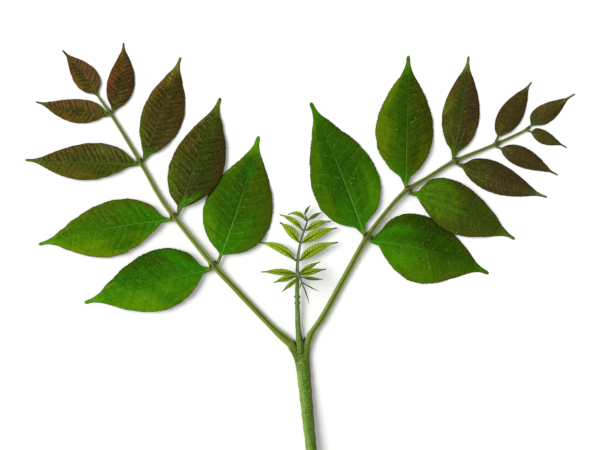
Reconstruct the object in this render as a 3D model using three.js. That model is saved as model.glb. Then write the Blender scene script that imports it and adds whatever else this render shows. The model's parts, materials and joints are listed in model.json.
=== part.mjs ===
// Leafy ash shoot, cut from the tree and laid on a flat surface: a green stem with one opposite
// pair of pinnate leaves, and the growing tip between them with its own pair of young leaves.
// Millimetres, +Z up. The shoot is laid out around the stem's leaf node, with +Y towards the
// growing tip, and the finished group is then moved so that its origin is the middle of its
// bounding box, on the surface it lies on.

import * as THREE from "three";

// ---- Driving dimensions ----

const fitGap = 0.35; // left between pieces that grow out of one another
const endGap = 1.5 * fitGap; // left between the end of a leaf stalk and its terminal leaflet
const up = new THREE.Vector3(0, 0, 1);

// How finely full-grown and young leaves are made, and how thick their blades are at the midrib.
const mature = { stalkSides: 8, stalkSteps: 32, bladeSteps: 16, thickness: 0.6 };
const young = { stalkSides: 6, stalkSteps: 12, bladeSteps: 8, thickness: 0.4 };
const bladeSides = 8;

// A stalk is a round or flattened tube through its points. Each point is [x, y, z of the centre],
// and widths are the tube's full width there.
const stem = {
  points: [
    [7.3, -62, 6.9],
    [5.3, -46, 6],
    [3.4, -27.5, 4.2],
    [2.2, -15, 3.05],
    [1.6, -9, 2.65],
    [1.1, -5, 2.45],
    [0.3, 0, 2.6],
    [0, 3, 2.9],
    [-0.4, 5.5, 3.2],
    [-0.8, 11, 3.8],
    [-1, 17.5, 4.5],
    [-1.15, 27.5, 5.5],
    [-1, 35.8, 6.3],
  ],
  widths: [5.2, 5.6, 6.3, 6.7, 7.2, 6.2, 4.4, 3.6, 3, 2.6, 2.4, 2.1, 2],
  flatness: [1, 1, 0.95, 0.86, 0.78, 0.82, 1, 1, 1, 1, 1, 1, 1], // height over width
};
const stemSides = 10;
const stemSteps = 36;

// One pinnate leaf: its stalk's points, and the leaflets that leave it at those points. tip is
// [x, y, z] of a leaflet's midrib end, halves the blade's widest half-widths left and right of the
// midrib looking from base to tip, widest the shares of the blade's length at which each half is
// widest, stalk the length of its own short stalk, bow how far the midrib curves to the left, arch
// how far it curves upwards, and face, where it isn't up, the direction the blade looks. tail,
// where it isn't the usual one, is the share of the blade's length that is only drip tip.
const leftLeaf = {
  name: "left",
  grade: mature,
  points: [
    [-2.6, -5, 2.6],
    [-3.7, 0, 2.7],
    [-7.8, 4.1, 2.9],
    [-12.9, 8.6, 2.5],
    [-32.4, 28.9, 2.4],
    [-41.5, 38.8, 3.2],
    [-61.4, 63.1, 2.8],
    [-68.8, 73, 1.9],
    [-78.6, 90.2, 1.6],
    [-93.4, 114.4, 1.3],
    [-100.4, 124.2, 1.1],
  ],
  widths: [0.8, 2.6, 3.2, 3.2, 3, 3.1, 2.6, 2.4, 2.2, 1.7, 1.2],
  leaflets: {
    "1_outer": {
      at: 5, tip: [-107.5, 21.2, -0.8], halves: [14.3, 15.9], widest: [0.42, 0.36],
      stalk: 3.6, bow: -0.7, arch: 3.5,
    },
    "1_inner": {
      at: 5, tip: [-20.4, 104.6, -0.8], halves: [16.6, 17.8], widest: [0.38, 0.36],
      stalk: 5, bow: -1.3, arch: 2,
    },
    "2_outer": {
      at: 6, tip: [-130.4, 50.3, -0.8], halves: [14.3, 13.4], widest: [0.48, 0.37],
      stalk: 3.6, bow: -1.7, arch: 3.2,
    },
    "2_inner": {
      at: 6, tip: [-39.5, 123.7, -0.4], halves: [12.4, 14], widest: [0.38, 0.43],
      stalk: 3.4, bow: 0, arch: 3,
    },
    "3_outer": {
      at: 8, tip: [-137.1, 92.6, -0.6], halves: [8.7, 10.1], widest: [0.5, 0.37],
      stalk: 1.6, bow: 0.2, arch: 2.4,
    },
    "3_inner": {
      at: 8, tip: [-59.4, 144, -0.6], halves: [9.2, 11.6], widest: [0.46, 0.44],
      stalk: 1.8, bow: -0.3, arch: 1.5,
    },
    "4_outer": {
      at: 9, tip: [-131.8, 121.6, -0.4], halves: [6.3, 6], widest: [0.45, 0.33],
      stalk: 1.1, bow: 0.4, arch: 1,
    },
    "4_inner": {
      at: 9, tip: [-88, 151.3, -0.4], halves: [6.5, 7.2], widest: [0.4, 0.41],
      stalk: 1, bow: -1.5, arch: 1,
    },
    terminal: {
      at: 10, tip: [-118.5, 147.5, -0.4], halves: [5.8, 6.5], widest: [0.38, 0.35],
      stalk: 1.4, bow: -0.6, arch: 1, tail: 0.1,
    },
  },
};

const rightLeaf = {
  name: "right",
  grade: mature,
  points: [
    [5, -5, 2.6],
    [4.3, 0.2, 2.7],
    [6.1, 6.1, 2.8],
    [10.9, 13, 2.3],
    [23.9, 36.4, 1.9],
    [33.2, 52.8, 2.9],
    [43.3, 66.6, 3.6],
    [52.8, 76.7, 3.4],
    [64.8, 84.3, 2.6],
    [76.2, 91.3, 2],
    [96.6, 99.9, 1.5],
    [112.9, 107.6, 1.2],
    [115.3, 109.6, 1.1],
  ],
  widths: [0.8, 2.4, 3.2, 3.4, 3.2, 3.1, 2.4, 2.6, 2, 2.2, 1.6, 1.3, 1.1],
  leaflets: {
    "1_inner": {
      at: 5, tip: [5.5, 121.4, -0.8], halves: [16.6, 17.2], widest: [0.35, 0.37],
      stalk: 3.9, bow: -0.8, arch: 2,
    },
    "1_outer": {
      at: 5, tip: [94.6, 35.8, -0.8], halves: [16.6, 17], widest: [0.34, 0.44],
      stalk: 2.8, bow: 3, arch: 2,
    },
    "2_inner": {
      at: 7, tip: [54.4, 144.8, -0.8], halves: [15.6, 13.2], widest: [0.41, 0.42],
      stalk: 2.9, bow: 0, arch: 1.5,
    },
    "2_outer": {
      at: 7, tip: [107.6, 53, -0.6], halves: [13, 12], widest: [0.31, 0.46],
      stalk: 3.4, bow: 2.2, arch: 2.5,
    },
    "3_inner": {
      at: 9, tip: [84.5, 144.5, -0.6], halves: [9.2, 9.4], widest: [0.42, 0.4],
      stalk: 2.2, bow: -0.6, arch: 1,
    },
    "3_outer": {
      at: 9, tip: [123.7, 74, -0.6], halves: [8.5, 6.9], widest: [0.36, 0.42],
      stalk: 2.5, bow: -0.5, arch: 1,
    },
    "4_inner": {
      at: 10, tip: [116, 131.6, -0.4], halves: [5.6, 6.3], widest: [0.38, 0.43],
      stalk: 2.2, bow: 0.8, arch: 1,
    },
    "4_outer": {
      at: 10, tip: [129.2, 85, -0.4], halves: [5.3, 4.7], widest: [0.37, 0.37],
      stalk: 2.5, bow: 0.4, arch: 1, tail: 0.1,
    },
    "5_outer": {
      at: 11, tip: [133.7, 98.7, -0.4], halves: [3.1, 3.7], widest: [0.3, 0.42],
      stalk: 1.4, bow: 0.6, arch: 0.5, tail: 0.14,
    },
    terminal: {
      at: 12, tip: [137.8, 125.7, -0.4], halves: [5.1, 4.7], widest: [0.28, 0.4],
      stalk: 0.6, bow: 0.6, arch: 0.5, tail: 0.14,
    },
  },
};

// The growing tip's two young leaves: the back one lies along the stem's own direction, and the
// front one stands up from the tip, so its blades have a face of their own to look towards.
const backYoungLeaf = {
  name: "back_young",
  grade: young,
  points: [
    [-1, 36.5, 6.2],
    [-0.9, 42, 5.8],
    [0.4, 50.8, 5.4],
    [2.2, 57, 5],
    [3.8, 62.2, 4.7],
    [2.8, 64.8, 4.7],
  ],
  widths: [1.9, 1.5, 1.2, 1, 0.8, 0.7],
  leaflets: {
    "1_left": {
      at: 1, tip: [-20.2, 51.4, 1.9], halves: [1.9, 2.1], widest: [0.44, 0.42],
      stalk: 0.5, bow: -2, arch: 0.6,
    },
    "1_right": {
      at: 1, tip: [19.3, 51.5, 4.6], halves: [2.4, 2.4], widest: [0.36, 0.36],
      stalk: 0.5, bow: 1.8, arch: 1,
    },
    "2_left": {
      at: 2, tip: [-9.9, 61.5, 4.4], halves: [1.9, 2.5], widest: [0.4, 0.42],
      stalk: 0.5, bow: -0.7, arch: 0.6,
    },
    "2_right": {
      at: 2, tip: [18.9, 58.7, 3.4], halves: [2.3, 2.3], widest: [0.36, 0.36],
      stalk: 0.5, bow: 1.2, arch: 1,
    },
    "3_left": {
      at: 3, tip: [-9.9, 65.3, 4.4], halves: [1.2, 1.4], widest: [0.45, 0.42],
      stalk: 0.5, bow: -1.2, arch: 0.6,
    },
    "3_right": {
      at: 3, tip: [15.8, 62, 2.6], halves: [1.6, 1.7], widest: [0.38, 0.38],
      stalk: 0.5, bow: 1.1, arch: 0.6,
    },
    "4_left": {
      at: 4, tip: [-5.8, 65.3, 5], halves: [1, 1.1], widest: [0.45, 0.45],
      stalk: 0.4, bow: -1.9, arch: 0.6,
    },
    "4_right": {
      at: 4, tip: [11.2, 66.4, 2.8], halves: [0.9, 1], widest: [0.4, 0.4],
      stalk: 0.4, bow: 0.4, arch: 0.4,
    },
    terminal: {
      at: 5, tip: [5.4, 69.9, 4], halves: [0.7, 0.7], widest: [0.4, 0.4],
      stalk: 0.2, bow: 0.3, arch: 0.3,
    },
  },
};

const frontYoungLeaf = {
  name: "front_young",
  grade: young,
  face: [0, 1, 0],
  points: [
    [-0.9, 36.3, 8],
    [-0.7, 36, 10],
    [-0.4, 35.6, 12.6],
    [0.2, 34.8, 15],
    [1, 32.3, 17.4],
    [1.4, 31.2, 18.3],
  ],
  widths: [1.6, 1.4, 1.2, 1, 0.8, 0.6],
  leaflets: {
    "1_left": {
      at: 1, tip: [-19.2, 36.9, 9], halves: [1.9, 1.9], face: [0, -0.6, 1], widest: [0.4, 0.4],
      stalk: 0.5, bow: -1.2, arch: 1.2,
    },
    "1_right": {
      at: 1, tip: [10.4, 42, 9], halves: [1.5, 1.5], face: [0.3, -0.6, 1], widest: [0.4, 0.4],
      stalk: 0.5, bow: 1, arch: 1,
    },
    "2_left": {
      at: 2, tip: [-12.8, 31.7, 11], halves: [1.8, 1.8], face: [0, -0.8, 1], widest: [0.4, 0.4],
      stalk: 0.5, bow: -0.8, arch: 1,
    },
    "2_right": {
      at: 2, tip: [13.3, 38.4, 11], halves: [1.8, 1.8], face: [0, -0.6, 1], widest: [0.36, 0.36],
      stalk: 0.5, bow: 0.8, arch: 1,
    },
    "3_left": {
      at: 3, tip: [-8.6, 27.4, 13.5], halves: [1.4, 1.4], face: [0.4, -0.8, 1], widest: [0.4, 0.4],
      stalk: 0.5, bow: -0.6, arch: 0.8,
    },
    "3_right": {
      at: 3, tip: [11.6, 33.5, 14], halves: [1.2, 1.3], face: [0, -1, 1], widest: [0.4, 0.4],
      stalk: 0.5, bow: 0.3, arch: 0.8,
    },
    "4_left": {
      at: 4, tip: [-0.2, 28.8, 17], halves: [0.6, 0.6], face: [1, 0.4, 0.3], widest: [0.4, 0.4],
      stalk: 0.3, bow: 0, arch: 0.2,
    },
    "4_right": {
      at: 4, tip: [9.6, 27.9, 16.4], halves: [0.9, 0.9], face: [-0.2, -1, 0.3], widest: [0.4, 0.4],
      stalk: 0.3, bow: 0, arch: 0.4,
    },
    terminal: {
      at: 5, tip: [4.8, 21.4, 15.4], halves: [0.8, 0.8], face: [1, 0.3, 0.3], widest: [0.4, 0.4],
      stalk: 0.6, bow: 0, arch: 0.3,
    },
  },
};

// The dark resting buds in the angles between the stem and its two leaves.
const axillaryBuds = {
  left: { at: [-2.75, 2.5, 3.1], lean: 12 }, // lean: degrees towards its leaf
  right: { at: [2.6, 4, 3.1], lean: -10 },
};
const budSize = [0.9, 2, 1.3]; // width, length, height
const budSides = 8;
const budRings = 6;

// Every leaflet's own stalk and drip tip grow with its size, which is 1 for the largest ones.
const largestHalf = 18; // half-width of a leaflet of size 1
const leafletStalk = { least: 0.3, growth: 0.5 }; // half-widths
const dripTip = { least: 0.15, growth: 1.35, tail: 0.07 }; // tail: its share of the blade's length

const blade = {
  taper: 1.15, // how hollow the outline is towards the tip
  fold: 0.22, // how far the halves rise from the midrib, over the half-width
  curl: 0.34, // how far the margins bend down again
  foldBy: 1 / 3, // the share of the blade by which its fold is fully there
  thinBy: 0.4, // the share of the blade by which the stalk's depth has thinned away
  tipRound: 20, // how late the drip tip rounds off
  tipBlunt: 1.1, // over 1, so that the drip tip keeps a little width at its end
};

// ---- Shapes ----

// A closed tube bent into shape: place(share of the length, angle round the section, share of the
// radius) says where each point of a plain cylinder goes.
function bentCylinder(sides, steps, place) {
  const geometry = new THREE.CylinderGeometry(1, 1, 1, sides, steps);
  const points = geometry.getAttribute("position");
  for (let i = 0; i < points.count; i++) {
    const [x, y, z] = [points.getX(i), points.getY(i), points.getZ(i)];
    const placed = place(y + 0.5, Math.atan2(-z, x), Math.hypot(x, z));
    points.setXYZ(i, placed.x, placed.y, placed.z);
  }
  geometry.computeVertexNormals();
  return geometry;
}

// One point of a curve, with the side to its left and the direction its face looks there.
function frameAt(curve, share, face) {
  const tangent = curve.getTangent(share);
  const side = new THREE.Vector3().crossVectors(face, tangent).normalize();
  const normal = new THREE.Vector3().crossVectors(tangent, side);
  return { origin: curve.getPoint(share), side, normal };
}

// Reads a list of values, one for each point of a curve, at any share of its length.
function valueAt(values, share) {
  const place = share * (values.length - 1);
  const index = Math.min(Math.floor(place), values.length - 2);
  return THREE.MathUtils.lerp(values[index], values[index + 1], place - index);
}

const toVector = ([x, y, z]) => new THREE.Vector3(x, y, z);

function stalkGeometry({ points, widths, flatness, face }, sides, steps) {
  const curve = new THREE.CatmullRomCurve3(points.map(toVector));
  const reference = face ? toVector(face) : up;
  const halfTurn = Math.PI / sides; // puts a flat of the section underneath
  return bentCylinder(sides, steps, (share, angle, radius) => {
    const { origin, side, normal } = frameAt(curve, share, reference);
    const half = (radius * valueAt(widths, share)) / 2;
    const tall = half * (flatness ? valueAt(flatness, share) : 1);
    const placed = origin
      .addScaledVector(side, half * Math.cos(angle + halfTurn))
      .addScaledVector(normal, tall * Math.sin(angle + halfTurn));
    placed.z = Math.max(placed.z, 0);
    return placed;
  });
}

// The blade's outline: its half-width at a share of its length, as a share of the widest. It ends
// where the drip tip is all that is left.
function outline(share, widest, tail) {
  const x = Math.min(share / (1 - tail), 1);
  const rise = (blade.taper * widest) / (1 - widest);
  return (x / widest) ** rise * ((1 - x) / (1 - widest)) ** blade.taper;
}

function leafletGeometry(leaflet, grade) {
  const { from, tip, halves, widest, stalk, bow, arch, stalkHalf, tipHalf } = leaflet;
  const face = leaflet.face ? toVector(leaflet.face).normalize() : up;
  const chord = new THREE.Vector3().subVectors(tip, from);
  const left = new THREE.Vector3().crossVectors(face, chord).normalize();
  // The curve passes halfway between its chord and its control point.
  const control = from.clone().addScaledVector(chord, 0.5).addScaledVector(left, 2 * bow);
  control.addScaledVector(face, 2 * arch);
  const curve = new THREE.QuadraticBezierCurve3(from, control, tip);
  const bladeStart = stalk / chord.length();
  const tail = leaflet.tail ?? dripTip.tail;
  return bentCylinder(bladeSides, grade.bladeSteps, (share, angle, radius) => {
    const { origin, side, normal } = frameAt(curve, share, face);
    const along = THREE.MathUtils.clamp((share - bladeStart) / (1 - bladeStart), 0, 1);
    const across = radius * Math.cos(angle);
    const hand = across > 0 ? 0 : 1;
    const close = Math.sqrt(blade.tipBlunt - along ** blade.tipRound);
    const rim = THREE.MathUtils.lerp(stalkHalf, tipHalf, along) * close;
    const half = Math.hypot(halves[hand] * outline(along, widest[hand], tail), rim);
    const depth = Math.max(grade.thickness / 2, stalkHalf * (1 - along / blade.thinBy));
    const rise = blade.fold * Math.abs(across) - blade.curl * across ** 2;
    const lift = half * rise * Math.min(1, along / blade.foldBy);
    const placed = origin.addScaledVector(side, half * across).addScaledVector(normal, lift);
    // Where a blade would reach below the surface it lies on, it lies flat.
    const halfDepth = depth * radius * Math.abs(Math.sin(angle));
    placed.z = Math.max(placed.z, halfDepth * Math.abs(normal.z));
    return placed.addScaledVector(normal, Math.sign(Math.sin(angle)) * halfDepth);
  });
}

function budGeometry(lean) {
  const geometry = new THREE.SphereGeometry(0.5, budSides, budRings).rotateX(Math.PI / 2);
  geometry.scale(...budSize);
  return geometry.rotateZ(THREE.MathUtils.degToRad(lean));
}

// ---- Materials ----

const greenBlade = new THREE.MeshStandardMaterial({ color: 0x3c7a0c, roughness: 0.5 });
const bronzeBlade = new THREE.MeshStandardMaterial({ color: 0x4a4020, roughness: 0.5 });
const youngBlade = new THREE.MeshStandardMaterial({ color: 0x8cab20, roughness: 0.5 });
const greenStalk = new THREE.MeshStandardMaterial({ color: 0x6f7f38, roughness: 0.6 });
const darkBud = new THREE.MeshStandardMaterial({ color: 0x2a2a16, roughness: 0.8 });

const greenFrom = 0.73; // leaflets over this size have turned from bronze to green

// ---- Assembly ----

const shoot = new THREE.Group();

function add(name, geometry, material) {
  const mesh = new THREE.Mesh(geometry, material);
  mesh.name = name;
  shoot.add(mesh);
  return mesh;
}

// Where a leaflet's own stalk begins: clear of the side of the leaf stalk it grows from, or just
// past the end of that stalk.
function leafletBase(leaf, leaflet, tip, stalkHalf) {
  const curve = new THREE.CatmullRomCurve3(leaf.points.map(toVector));
  const last = leaf.points.length - 1;
  const node = toVector(leaf.points[leaflet.at]);
  const tangent = curve.getTangent(leaflet.at / last);
  if (leaflet.at === last) {
    return node.addScaledVector(tangent, endGap);
  }
  const away = new THREE.Vector3(tip.x - node.x, tip.y - node.y, 0).normalize();
  const cosine = Math.abs(away.dot(tangent));
  const clear = leaf.widths[leaflet.at] / 2 + fitGap + stalkHalf * cosine;
  return node.addScaledVector(away, clear / Math.sqrt(1 - cosine ** 2));
}

function addLeaf(leaf) {
  const { stalkSides, stalkSteps } = leaf.grade;
  add(`${leaf.name}_leaf_stalk`, stalkGeometry(leaf, stalkSides, stalkSteps), greenStalk);
  for (const [key, leaflet] of Object.entries(leaf.leaflets)) {
    const tip = toVector(leaflet.tip);
    const size = Math.max(...leaflet.halves) / largestHalf;
    const stalkHalf = leafletStalk.least + leafletStalk.growth * size;
    const tipHalf = dripTip.least + dripTip.growth * size;
    const from = leafletBase(leaf, leaflet, tip, stalkHalf);
    const matureBlade = size > greenFrom ? greenBlade : bronzeBlade;
    const material = leaf.grade === young ? youngBlade : matureBlade;
    const shape = { ...leaflet, from, tip, stalkHalf, tipHalf };
    add(`${leaf.name}_leaflet_${key}`, leafletGeometry(shape, leaf.grade), material);
  }
}

add("stem", stalkGeometry(stem, stemSides, stemSteps), greenStalk);
addLeaf(leftLeaf);
addLeaf(rightLeaf);
addLeaf(backYoungLeaf);
addLeaf(frontYoungLeaf);
for (const [side, bud] of Object.entries(axillaryBuds)) {
  add(`axillary_bud_${side}`, budGeometry(bud.lean), darkBud).position.set(...bud.at);
}

const box = new THREE.Box3().setFromObject(shoot, true);
const middle = box.getCenter(new THREE.Vector3());
shoot.position.set(-middle.x, -middle.y, -box.min.z);

export default shoot;
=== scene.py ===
import json
import math

import bmesh
import bpy
import numpy as np
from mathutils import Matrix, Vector


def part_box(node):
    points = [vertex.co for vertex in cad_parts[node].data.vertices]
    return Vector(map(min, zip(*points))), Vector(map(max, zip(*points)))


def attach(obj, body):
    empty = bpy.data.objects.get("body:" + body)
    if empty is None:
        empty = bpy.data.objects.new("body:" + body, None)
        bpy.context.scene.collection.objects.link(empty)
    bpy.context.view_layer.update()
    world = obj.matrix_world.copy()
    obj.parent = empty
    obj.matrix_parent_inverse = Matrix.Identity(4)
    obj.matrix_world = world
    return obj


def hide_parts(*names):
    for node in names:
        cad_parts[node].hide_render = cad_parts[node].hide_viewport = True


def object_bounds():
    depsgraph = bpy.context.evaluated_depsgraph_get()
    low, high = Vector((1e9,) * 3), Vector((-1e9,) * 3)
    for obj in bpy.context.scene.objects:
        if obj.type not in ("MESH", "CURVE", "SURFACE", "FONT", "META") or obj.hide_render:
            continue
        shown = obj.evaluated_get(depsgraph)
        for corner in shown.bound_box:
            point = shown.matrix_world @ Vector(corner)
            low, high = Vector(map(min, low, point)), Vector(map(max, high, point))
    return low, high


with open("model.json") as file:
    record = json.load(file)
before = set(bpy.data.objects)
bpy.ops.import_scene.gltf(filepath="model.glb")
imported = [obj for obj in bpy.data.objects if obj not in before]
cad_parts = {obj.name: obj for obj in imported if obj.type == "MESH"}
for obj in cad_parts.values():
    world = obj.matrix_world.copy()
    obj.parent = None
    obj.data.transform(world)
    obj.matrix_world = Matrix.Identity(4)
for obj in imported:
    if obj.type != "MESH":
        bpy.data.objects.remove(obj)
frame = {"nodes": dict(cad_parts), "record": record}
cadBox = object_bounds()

mm = 0.001
up = np.array([0.0, 0.0, 1.0])
clearance = 0.02 * mm  # everything stays this far above the surface
slotOf = {part["node"]: part["material_slot"] for part in frame["record"]["subparts"]}
print("frame loaded:", len(frame["nodes"]), "nodes")


def colour(text):  # "rrggbb" as a linear colour
    channels = [int(text[i:i + 2], 16) / 255 for i in (0, 2, 4)]
    return np.array([c / 12.92 if c <= 0.04045 else ((c + 0.055) / 1.055) ** 2.4
                     for c in channels])


def smooth(low, high, value):
    t = np.clip((value - low) / (high - low), 0, 1)
    return t * t * (3 - 2 * t)


def mixed(first, second, share):  # two colours, each as text or as numbers
    first, second = (colour(c) if isinstance(c, str) else c for c in (first, second))
    return first + (second - first) * np.asarray(share)[..., None]


def hump(value, middle, width):
    return np.exp(-((value - middle) / width) ** 2)


def unit(vectors):
    return vectors / np.linalg.norm(vectors, axis=-1, keepdims=True)


def ripple(seed, place, wavelength, waves=5):  # a smooth irregular wave, about -1 to 1
    dice = np.random.default_rng(seed)
    total = 0
    for _ in range(waves):
        pace = 2 * math.pi / (wavelength * dice.uniform(0.6, 1.7))
        total = total + np.sin(place * pace + dice.uniform(0, 2 * math.pi))
    return total / math.sqrt(waves)


def alongCurve(points, shares):  # a smooth curve through evenly counted points
    last = len(points) - 1
    place = np.clip(shares, 0, 1) * last
    index = np.minimum(place.astype(int), last - 1)
    t = (place - index).reshape((-1,) + (1,) * (points.ndim - 1))
    padded = np.concatenate([[2 * points[0] - points[1]], points, [2 * points[-1] - points[-2]]])
    a, b, c, d = (padded[index + step] for step in range(4))
    return 0.5 * (2 * b + (c - a) * t + (2 * a - 5 * b + 4 * c - d) * t ** 2
                  + (3 * b - a - 3 * c + d) * t ** 3)


# Every node was bent from a cylinder, so its corners lie in equal rings. They are read from the
# end that is nearer to beside.
def ringsOf(node, beside):
    welded = bmesh.new()
    welded.from_mesh(frame["nodes"][node].data)
    bmesh.ops.remove_doubles(welded, verts=welded.verts, dist=2e-6)
    found = []
    for start in welded.verts:
        rings = []
        seen = {start}
        front = [start]
        while front:
            rings.append([tuple(vert.co) for vert in front])
            around = []
            for vert in front:
                for edge in vert.link_edges:
                    other = edge.other_vert(vert)
                    if other not in seen:
                        seen.add(other)
                        around.append(other)
            if len(rings) > 1 and len(around) not in (len(rings[1]), 1, 0):
                break
            front = around
        if not front and len(rings[-1]) == 1:
            found.append(rings)
    welded.free()
    gaps = [np.min(np.linalg.norm(beside - np.array(rings[0]), axis=1)) for rings in found]
    return np.array(found[np.argmin(gaps)][1:-1])


def cornersOf(node):
    return np.array([tuple(vert.co) for vert in frame["nodes"][node].data.vertices])


def distancesAlong(points):
    steps = np.linalg.norm(np.diff(points, axis=0), axis=1)
    return np.append(0, np.cumsum(steps))


def gridFaces(index):
    corners = np.stack([index[:-1, :-1], index[:-1, 1:], index[1:, 1:], index[1:, :-1]], axis=-1)
    return corners.reshape(-1, 4).tolist()


def tubeFaces(rows, columns, turn=1):  # turn is -1 where the corners run the other way round
    index = np.arange(rows * columns).reshape(rows, columns)
    index = np.concatenate([index, index[:, :1]], axis=1)[:, ::turn]
    return gridFaces(index) + [index[0, -2::-1].tolist(), index[-1, :-1].tolist()]


def makePiece(node, points, faces, looks, materials):
    mesh = bpy.data.meshes.new(node + "_grown")
    mesh.from_pydata(points.reshape(-1, 3).tolist(), [], faces)
    for name, values in looks.items():
        values = values.reshape(-1, 3)
        kind, field = "FLOAT_VECTOR", "vector"
        if name == "tint":
            kind, field = "FLOAT_COLOR", "color"
            values = np.concatenate([values, np.ones((len(values), 1))], axis=1)
        attribute = mesh.attributes.new(name, kind, "POINT")
        attribute.data.foreach_set(field, values.astype(np.float32).ravel())
    mesh.materials.append(materials[slotOf[node]])
    mesh.shade_smooth()
    mesh.validate()
    piece = bpy.data.objects.new(node + "_grown", mesh)
    bpy.context.scene.collection.objects.link(piece)
    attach(piece, "root")
    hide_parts(node)


# A value given to a node is a number, a colour or another node's output.
def addNode(tree, kind, values=(), output=0, **settings):
    node = tree.nodes.new(kind)
    for name, value in settings.items():
        setattr(node, name, value)
    for place, value in (values.items() if isinstance(values, dict) else enumerate(values)):
        if isinstance(value, bpy.types.NodeSocket):
            tree.links.new(value, node.inputs[place])
        else:
            node.inputs[place].default_value = value
    return node.outputs[output]


def calculate(tree, operation, *values):
    return addNode(tree, "ShaderNodeMath", values, operation=operation)


def times(tree, first, second):
    return calculate(tree, "MULTIPLY", first, second)


def plus(tree, first, second):
    return calculate(tree, "ADD", first, second)


def remap(tree, value, fromLow, fromHigh, toLow=0.0, toHigh=1.0):
    return addNode(tree, "ShaderNodeMapRange", (value, fromLow, fromHigh, toLow, toHigh),
                   interpolation_type="SMOOTHSTEP")


def mixColour(tree, share, first, second, how="MIX"):
    return addNode(tree, "ShaderNodeMix", {0: share, 6: first, 7: second}, 2,
                   data_type="RGBA", blend_type=how)


def readAttribute(tree, name, output=1):  # 0 colour, 1 vector
    return addNode(tree, "ShaderNodeAttribute", output=output, attribute_name=name)


def partsOf(tree, name):
    return addNode(tree, "ShaderNodeSeparateXYZ", (readAttribute(tree, name),)).node.outputs


noiseSpan = (0.3, 0.7)  # most of a noise texture lies between these


def noiseOf(tree, where, scale, detail=2.0, roughness=0.5):
    return addNode(tree, "ShaderNodeTexNoise",
                   {"Vector": where, "Scale": scale, "Detail": detail, "Roughness": roughness})


def cellsOf(tree, where, scale, feature):
    return addNode(tree, "ShaderNodeTexVoronoi", {"Vector": where, "Scale": scale},
                   feature=feature)


# A soft dot in some of the cells: full up to inner, and gone at outer.
def dotsOf(tree, where, scale, inner, outer, chance):
    near = cellsOf(tree, where, scale, "F1")
    chosen = addNode(tree, "ShaderNodeSeparateColor", (near.node.outputs["Color"],))
    return times(tree, remap(tree, near, inner, outer, 1.0, 0.0),
                 calculate(tree, "GREATER_THAN", chosen, chance))


def stretched(tree, where, scale):
    return addNode(tree, "ShaderNodeVectorMath", (where, scale), operation="MULTIPLY")


def rgba(text):
    return (*colour(text), 1.0)


def newMaterial(name):
    material = bpy.data.materials.new(name)
    material.use_nodes = True
    tree = material.node_tree
    tree.nodes.clear()
    return material, tree


def finishMaterial(tree, base, fine, height, look):
    bump = addNode(tree, "ShaderNodeBump", {"Strength": look["bump"], "Distance": look["relief"],
                                            "Height": height})
    shader = addNode(tree, "ShaderNodeBsdfPrincipled", {
        "Base Color": base, "Normal": bump,
        "Roughness": remap(tree, fine, *noiseSpan, *look["rough"]),
        "Specular IOR Level": look["gloss"], "Specular Tint": rgba(look["glossColour"])})
    tree.links.new(shader, addOutput(tree))


def addOutput(tree):
    return tree.nodes.new("ShaderNodeOutputMaterial").inputs[0]


# Blades: "place" is millimetres along, across and in from the margin. "veins" is the count of side
# veins passed, the distance from the midrib over its half-width, and how plainly veins show there.
# "marks" is how strong the midrib, the side veins and the leaflet's own stalk are.
bladeFinish = {
    "green_leaflet": dict(
        name="greenBlade", grain=1.0,
        vein="7cac38", veinShare=0.75, veinWide=(0.008, 0.04), rib="6db03c", ribWide=(0.14, 0.42),
        ribShare=0.8, worn=(0.4, 0.6), margin="38340e", marginShare=0.6, marginWide=0.5,
        grainSize=2.2, mottle=0.38, patchy=0.14, warm="55680a", warmShare=0.3, fleck="8cb83c",
        fleckShare=0.33, dark=0.36, speckle="d0dc98", bump=0.55, relief=0.0004, gloss=0.02,
        glossColour="90c838", rough=(0.45, 0.65), stalk="74862e"),
    "bronze_leaflet": dict(
        name="bronzeBlade", grain=1.35,
        vein="8e9a42", veinShare=0.75, veinWide=(0.02, 0.07), rib="62823a", ribWide=(0.2, 0.6),
        ribShare=0.75, worn=(0.38, 0.58), margin="2c1a0c", marginShare=0.6, marginWide=0.42,
        grainSize=1.7, mottle=0.8, patchy=0.28, warm="6e3424", warmShare=0.5, fleck="988e4a",
        fleckShare=0.55, dark=0.65, speckle="dcd8a8", bump=0.8, relief=0.0005, gloss=0.04,
        glossColour="b8a860", rough=(0.45, 0.65), stalk="667434"),
    "young_leaflet": dict(
        name="youngBlade", grain=2.6,
        vein="4c620c", veinShare=0.7, veinWide=(0.06, 0.22), rib="2c380a", ribWide=(0.5, 1.15),
        ribShare=0.9, worn=(0.2, 0.4), margin="323c14", marginShare=0.7, marginWide=0.38,
        grainSize=1.5, mottle=0.4, patchy=0.2, warm="a8a030", warmShare=0.25, fleck="d4e878",
        fleckShare=0.45, dark=0.35, speckle="e4f0a8", bump=0.4, relief=0.0002, gloss=0.06,
        glossColour="c0d070", rough=(0.45, 0.6), stalk="6c7a34"),
}
bladeDetail = dict(  # alike for all three
    faint=0.3,  # how much of the mottling is left where the veins are faint
    darkFleck=(0.003, 0.004, 0.001, 1.0), networkShare=0.1, stalkShare=0.85,
    poreSize=(0.08, 0.17), poreChance=0.84, poreShare=(0.1, 0.75))


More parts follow.
